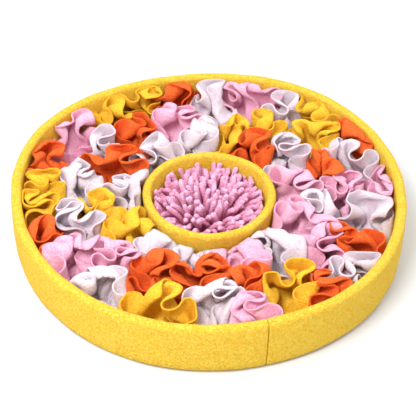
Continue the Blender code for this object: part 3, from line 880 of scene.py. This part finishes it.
# The pinned circles are let go and settle together as cloth: each keeps its flat size, resists
# sharp bends, sinks under its weight and pushes off its own folds, its neighbours and the rings.
# Lengths are in millimetres, and speeds in millimetres for each step.
SETTLE_STEPS = 240
GROW_STEPS = 140  # the cloth is let out to its full size over this many steps
CALM_STEPS = 25  # the last ones, in which nothing pulls at it
NUDGE_EVERY = 10
NUDGE = (0.12, 0.12, 0.05)
NUDGES_DOWN = 5  # patches that are nudged each its own way, down a circle and round it
NUDGES_ROUND = 12
SORT_EVERY = 4  # how often the layers that are close are looked up
KEPT_SPEED = np.float32(0.86)
MOST_SPEED = 0.5
MOST_SHIFT = 0.9
WEIGHT = 0.022
UPHELD = 0.9  # share of the weight that is taken off the petal, and added opposite to it
LEAN = 0.018  # how the petal leans back
STRETCH = np.float32(0.48)  # how hard the cloth resists being stretched, squeezed and skewed
SQUEEZE = np.float32(0.42)
SKEW = np.float32(0.12)
STIFF_ROUND = ((2, 0.11), (4, 0.05), (7, 0.025))  # against bends over so many points, how hard
STIFF_DOWN = ((2, 0.2), (4, 0.096))
MOST_UNBENT = 0.35
APART = np.float32(2.9)  # between the middles of two layers that touch
CLOSE = 1.2  # beyond APART, for layers that may touch soon
PUSH = np.float32(0.42)
OVERHANG = np.float32(6.0)  # how far a circle may lean over a neighbour's plot
NEIGHBOURS = 9
PLOT_HEIGHT = 50.0  # at which the plots are measured
HIGHEST = 55.0  # of a circle whose petal rises by MEAN_RISE; one with a high petal stands higher
MEAN_RISE = 5
CEILING = np.float32(0.35)  # how hard it holds a circle down
PETAL_SHARE = 0.8  # of what a petal rises above MEAN_RISE
LOWER_BY_RING = np.float32(24.0)  # how much lower the circles lie before the inner ring
LOWER_STRIP = 25  # and how far from it
OUTER_GAP = 1.8  # from the middle of the cloth to each ring
INNER_GAP = 1.9
HELD_ROWS = 3  # of points, which the knot's stitches hold still
ALL_FEEL = 26  # flat radius from which all points feel for other layers, or every second one
HALF_FEEL = 13

count = len(RUFFLES)
turn = np.arange(ROUND) * 2 * math.pi / ROUND + math.pi / ROUND
turn = np.where(turn > math.pi, turn - 2 * math.pi, turn)
cloth = np.zeros((count, LEVELS + 1, ROUND, 3))
for index, ruffle in enumerate(RUFFLES):
    for level in range(LEVELS + 1):
        share = np.full(ROUND, 0.06 + 0.94 * level / LEVELS)
        cloth[index, level] = pleated(ruffle, share, turn)
cloth = (np.round(cloth * 1000) / 1000).astype(np.float32)

flat_radius = STITCHED_RADIUS + (CIRCLE_RADIUS - STITCHED_RADIUS) * np.arange(LEVELS + 1) / LEVELS
flat_radius = flat_radius.astype(np.float32)
cut = [1 + CUT_SPREAD * (ruffle.size - MEAN_SIZE) for ruffle in RUFFLES]
cut = np.array([min(BIGGEST_CUT, max(SMALLEST_CUT, share)) for share in cut])
cut = cut.astype(np.float32)[:, None, None]
down_length = (flat_radius[1:] - flat_radius[:-1])[None, :, None] * cut
round_length = (2 * flat_radius * math.sin(math.pi / ROUND)).astype(np.float32)
round_length = round_length[None, :, None] * cut
down_pinned = lengths(cloth[:, 1:] - cloth[:, :-1])[..., 0]
round_pinned = lengths(np.roll(cloth, -1, 2) - cloth)[..., 0]

# points that feel for other layers: all near the rim, fewer further in, where they crowd
skips = [1 if radius > ALL_FEEL else 2 if radius > HALF_FEEL else 4 for radius in flat_radius]
feels = np.zeros((LEVELS + 1, ROUND), bool)
for level in range(HELD_ROWS, LEVELS + 1):
    feels[level, :: skips[level]] = True
feelers = np.nonzero(np.broadcast_to(feels, (count, LEVELS + 1, ROUND)).reshape(-1))[0]
flat_x = np.outer(flat_radius, np.cos(turn))
flat_y = np.outer(flat_radius, np.sin(turn))
flat_place = np.stack((flat_x, flat_y), -1)
feeler_place = np.broadcast_to(flat_place, (count, LEVELS + 1, ROUND, 2)).reshape(-1, 2)[feelers]
feeler_owner = np.repeat(np.arange(count), (LEVELS + 1) * ROUND)[feelers]

# the plots' borders, as directions to the nearest neighbours and distances
middles = np.array([middle_at(ruffle, np.array(PLOT_HEIGHT)) for ruffle in RUFFLES])
middles = middles.reshape(count, 2)
towards = np.zeros((count, NEIGHBOURS, 2), np.float32)
border = np.zeros((count, NEIGHBOURS), np.float32)
for index, ruffle in enumerate(RUFFLES):
    gap = middles - middles[index]
    distance = np.sqrt(gap[:, 0] ** 2 + gap[:, 1] ** 2)
    nearest = np.argsort(distance, kind="stable")[1 : NEIGHBOURS + 1]
    for number, other in enumerate(nearest):
        towards[index, number] = gap[other] / distance[other]
        pushes = size_at(ruffle, PLOT_HEIGHT) ** 2 - size_at(RUFFLES[other], PLOT_HEIGHT) ** 2
        border[index, number] = (distance[other] ** 2 + pushes) / (2 * distance[other])
middles = middles.astype(np.float32)
ceiling = [HIGHEST + PETAL_SHARE * (ruffle.rise - MEAN_RISE) for ruffle in RUFFLES]
ceiling = np.array(ceiling, np.float32)[:, None, None]
# the gathered cloth near the knot resists squeezes and bends less
firm = np.clip((flat_radius - 6) / 20, 0.1, 1.0)[None, :, None]

# what pulls at each point: its weight, and the petal's lean
petal_side = np.cos(turn)[None, None, :]
petal_angle = np.radians([ruffle.petal for ruffle in RUFFLES])[:, None, None]
limp = np.sin(2.3 * np.arange(count) + 0.5)[:, None, None]  # some circles are limper
leans = LEAN * (1 - limp) * np.maximum(petal_side, 0)
leans = leans * (np.arange(LEVELS + 1) / LEVELS)[None, :, None]
falls = WEIGHT * (1 - UPHELD * (1 - 0.35 * limp) * petal_side) * np.ones((1, LEVELS + 1, 1))
pull = np.stack((leans * np.cos(petal_angle), leans * np.sin(petal_angle), -falls), -1)
pull = pull.astype(np.float32)
chance = np.random.default_rng(4)


def random_nudge():
    """A soft random push, the same for cloth that lies close together."""
    nudge = chance.normal(size=(count, NUDGES_DOWN, NUDGES_ROUND, 3))
    nudge = np.repeat(nudge, (LEVELS + NUDGES_DOWN) // NUDGES_DOWN, 1)[:, : LEVELS + 1]
    nudge = np.repeat(nudge, ROUND // NUDGES_ROUND, 2)
    for _ in range(4):
        nudge = (nudge + np.roll(nudge, 3, 2) + np.roll(nudge, -3, 2)) / 3
    return (nudge * NUDGE).astype(np.float32)


def keep_lengths(cloth, down, along):
    """The cloth keeps its length down each circle and round it, and its squares stay square."""
    for _ in range(2):
        for odd in (0, 1):
            upper = cloth[:, odd + 1 :: 2]
            lower = cloth[:, odd::2][:, : upper.shape[1]]
            gap = upper - lower
            wanted = down[:, odd::2][:, : upper.shape[1], :, None]
            shift = STRETCH * (1 - wanted / lengths(gap)) * gap
            lower += shift
            upper -= shift
        for odd in (0, 1):
            here = cloth[:, :, odd::2]
            there = cloth[:, :, 1::2] if odd == 0 else np.roll(cloth[:, :, 0::2], -1, 2)
            gap = there - here
            wanted = along[:, :, odd::2, None]
            size = lengths(gap)
            hold = np.where(size > wanted, STRETCH, SQUEEZE * firm[..., None])
            shift = hold * (1 - wanted / size) * gap
            here += shift
            if odd == 0:
                cloth[:, :, 1::2] -= shift
            else:
                cloth[:, :, 0::2] -= np.roll(shift, 1, 2)
    bias = np.sqrt(down * down + along[:, 1:] * along[:, :-1])
    for aside in (1, -1):
        gap = np.roll(cloth[:, 1:], -aside, 2) - cloth[:, :-1]
        shift = SKEW * (1 - bias[..., None] / lengths(gap)) * gap
        cloth[:, :-1] += shift
        cloth[:, 1:] -= np.roll(shift, aside, 2)


def resist_bending(cloth, down, along):
    """The cloth opens where it is bent, across a few points each way."""
    for reach, hold in STIFF_ROUND:
        gap = np.roll(cloth, -reach, 2) - cloth
        size = lengths(gap)
        wanted = reach * along[..., None]
        shift = np.float32(0.5 * hold) * firm[..., None] * (wanted / size - 1)
        shift = np.minimum(shift, MOST_UNBENT / size)
        shift = np.where(size < wanted, -shift, 0) * gap
        cloth += shift - np.roll(shift, reach, 2)
    for reach, hold in STIFF_DOWN:
        gap = cloth[:, reach:] - cloth[:, :-reach]
        size = lengths(gap)
        wanted = sum(down[:, part : part + LEVELS + 1 - reach] for part in range(reach))[..., None]
        shift = np.minimum(np.float32(0.5 * hold) * (wanted / size - 1), MOST_UNBENT / size)
        shift = np.where(size < wanted, -shift, 0) * gap
        cloth[:, :-reach] += shift
        cloth[:, reach:] -= shift


def close_layers(points):
    """Pairs of feelers of layers that are close, and the way home of the first of each pair."""
    first, second = close_pairs(points, float(APART) + CLOSE)
    apart = feeler_place[first] - feeler_place[second]
    apart = apart[:, 0] * apart[:, 0] + apart[:, 1] * apart[:, 1]
    strangers = feeler_owner[first] != feeler_owner[second]
    kept = strangers | (apart > float(2 * APART) ** 2)
    first, second = first[kept], second[kept]
    home = np.zeros((len(first), 3), np.float32)
    home[:, :2] = middles[feeler_owner[first]] - middles[feeler_owner[second]]
    home /= np.maximum(lengths(home), 1)
    return first, second, home


def push_apart(cloth, points, first, second, home):
    """Layers that touch push each other off, and one that got into another is sent home."""
    gap = points[first] - points[second]
    size = lengths(gap)
    touching = size[:, 0] < APART
    one, other = first[touching], second[touching]
    gap, size = gap[touching], size[touching]
    pressed = (APART - size) / APART
    outwards = gap / size + np.clip(1.6 * pressed - 0.25, 0, 1) * home[touching]
    shift = PUSH * (APART - size) * outwards / lengths(outwards)
    touches = np.bincount(one, minlength=len(points)) + np.bincount(other, minlength=len(points))
    push = np.stack(
        [
            np.bincount(one, shift[:, axis], len(points))
            - np.bincount(other, shift[:, axis], len(points))
            for axis in range(3)
        ],
        1,
    )
    push /= np.sqrt(np.maximum(touches, 1))[:, None]
    pushed = np.zeros((count * (LEVELS + 1) * ROUND, 3), np.float32)
    pushed[feelers] = push
    pushed = pushed.reshape(cloth.shape)
    for level in range(HELD_ROWS, LEVELS + 1):
        skip = skips[level]
        felt = pushed[:, level, ::skip]
        for part in range(1, skip):
            pushed[:, level, part::skip] = felt + (np.roll(felt, -1, 1) - felt) * (part / skip)
    cloth += pushed


def keep_in_place(cloth):
    """Each circle keeps near its own plot, between the rings and over the base."""
    x = cloth[..., 0] - middles[:, None, None, 0]
    y = cloth[..., 1] - middles[:, None, None, 1]
    for number in range(NEIGHBOURS):
        to_x = towards[:, number, 0][:, None, None]
        to_y = towards[:, number, 1][:, None, None]
        over = x * to_x + y * to_y - border[:, number][:, None, None] - OVERHANG
        over = np.float32(0.5) * np.maximum(over, 0)
        cloth[..., 0] -= over * to_x
        cloth[..., 1] -= over * to_y
    off_centre = np.sqrt(cloth[..., 0] * cloth[..., 0] + cloth[..., 1] * cloth[..., 1])
    wall = out_of_round(cloth[..., 0] / off_centre, cloth[..., 1] / off_centre)
    wall = MAT_RADIUS - OUTER_WALL - OUTER_GAP + wall
    kept = np.minimum(np.maximum(off_centre, WELL_RADIUS + INNER_GAP), wall) / off_centre
    cloth[..., :2] *= kept[..., None].astype(np.float32)
    cloth[..., 2] = np.maximum(cloth[..., 2], RUFFLE_ROOT)
    # before the inner ring the cloth lies lower, so that the ring shows
    by_ring = 1 - np.clip((off_centre - WELL_RADIUS - 2) / LOWER_STRIP, 0, 1)
    in_front = np.clip(-1.6 * cloth[..., 1] / off_centre - 0.6, 0, 1)
    above = cloth[..., 2] - ceiling + LOWER_BY_RING * by_ring * in_front
    cloth[..., 2] -= CEILING * np.maximum(above, 0)


knots = cloth[:, :HELD_ROWS].copy()
speed = np.zeros_like(cloth)
for step in range(SETTLE_STEPS):
    let_out = np.float32(min(1.0, (step + 1) / GROW_STEPS))
    down = down_pinned + (down_length - down_pinned) * let_out
    along = round_pinned + (round_length - round_pinned) * let_out
    speed *= KEPT_SPEED
    if step < SETTLE_STEPS - CALM_STEPS:
        speed += pull
    if step % NUDGE_EVERY == 0 and step < GROW_STEPS:
        speed += random_nudge()
    np.clip(speed, -MOST_SPEED, MOST_SPEED, out=speed)
    before = cloth.copy()
    cloth += speed
    keep_lengths(cloth, down, along)
    resist_bending(cloth, down, along)
    points = cloth.reshape(-1, 3)[feelers]
    if step % SORT_EVERY == 0:
        first, second, home = close_layers(points)
    push_apart(cloth, points, first, second, home)
    keep_in_place(cloth)
    cloth[:, :HELD_ROWS] = knots
    speed = np.clip(cloth - before, -MOST_SHIFT, MOST_SHIFT)
    cloth = before + speed

ruffle_fleece = {
    name: fleece(
        name + "_fleece",
        pale,
        deep,
        tuft=0.0015,
        pattern="on flat cloth",
        relief=0.7,
        contrast=2.6,
        sheen=sheen,
        glow=0.25,
    )
    # pale and deep: the tufts' own tone, with painted light on them and painted shade between them
    for name, pale, deep, sheen in (
        ("yellow", (0.98, 0.6, 0.065), (0.92, 0.45, 0.016), 0.0),
        ("orange", (0.91, 0.17, 0.04), (0.83, 0.108, 0.018), 0.0),
        ("pink", (0.99, 0.54, 0.7), (0.94, 0.39, 0.56), 0.1),
        ("white", (0.83, 0.715, 0.78), (0.77, 0.64, 0.71), 0.1),
    )
}
ruffle_faces = []
for level in range(LEVELS):
    for number in range(ROUND):
        here = level * ROUND + number
        beside_it = level * ROUND + (number + 1) % ROUND
        ruffle_faces.append((here, here + ROUND, beside_it + ROUND, beside_it))
knot = (LEVELS + 1) * ROUND
ruffle_faces += [(knot, number, (number + 1) % ROUND) for number in range(ROUND)]
how_far_out = np.append(np.repeat(np.arange(LEVELS + 1) / LEVELS, ROUND), 0).astype(np.float32)
flat_points = np.concatenate((flat_place.reshape(-1, 2), [(0.0, 0.0)])) * MM
CUT_ROUNDING = 0.7  # of the cut edge, on each face of the cloth
PATTERN_SHIFT = np.array((0.13, 0.07))  # metres of cloth from one circle's cut to the next

for index, ruffle in enumerate(RUFFLES):
    points = cloth[index].reshape(-1, 3).astype(float)
    points = np.concatenate((points, [cloth[index, 0].astype(float).mean(0)])) * MM
    mesh = bpy.data.meshes.new("gathered_" + ruffle.name)
    mesh.from_pydata(points.tolist(), [], ruffle_faces)
    from_knot = mesh.attributes.new("from_knot", "FLOAT", "POINT")
    from_knot.data.foreach_set("value", how_far_out)
    layer = mesh.uv_layers.new(name="flat_cloth")
    corners = np.zeros(len(mesh.loops), np.int32)
    mesh.loops.foreach_get("vertex_index", corners)
    size = float(cut[index, 0, 0])
    places = flat_points[corners] * size + PATTERN_SHIFT * index
    layer.data.foreach_set("uv", places.astype(np.float32).reshape(-1))
    circle = bpy.data.objects.new("gathered_" + ruffle.name, mesh)
    bpy.context.scene.collection.objects.link(circle)
    pick(circle)
    thick = circle.modifiers.new("Thickness", "SOLIDIFY")
    thick.thickness = CLOTH * MM
    thick.offset = 0
    bpy.ops.object.modifier_apply(modifier=thick.name)
    # only the cut edge is rounded, along the rims of the cloth's two faces; the points of its
    # second face follow those of the first, in the same order
    ends = np.zeros(2 * len(mesh.edges), np.int32)
    mesh.edges.foreach_get("vertices", ends)
    ends = ends.reshape(-1, 2)
    at_rim = (np.append(how_far_out, how_far_out) > 0.999)[ends].all(1)
    on_one_face = (ends[:, 0] > knot) == (ends[:, 1] > knot)
    weights = mesh.attributes.new("bevel_weight_edge", "FLOAT", "EDGE")
    weights.data.foreach_set("value", (at_rim & on_one_face).astype(np.float32))
    cut_edge = circle.modifiers.new("Cut edge", "BEVEL")
    cut_edge.width = CUT_ROUNDING * MM
    cut_edge.segments = 2
    cut_edge.limit_method = "WEIGHT"
    bpy.ops.object.modifier_apply(modifier=cut_edge.name)
    bpy.ops.object.shade_smooth()
    colour = ruffle.name.split("_")[0]
    circle.data.materials.append(ruffle_fleece[colour])
    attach(circle, "root")
    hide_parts(ruffle.name)
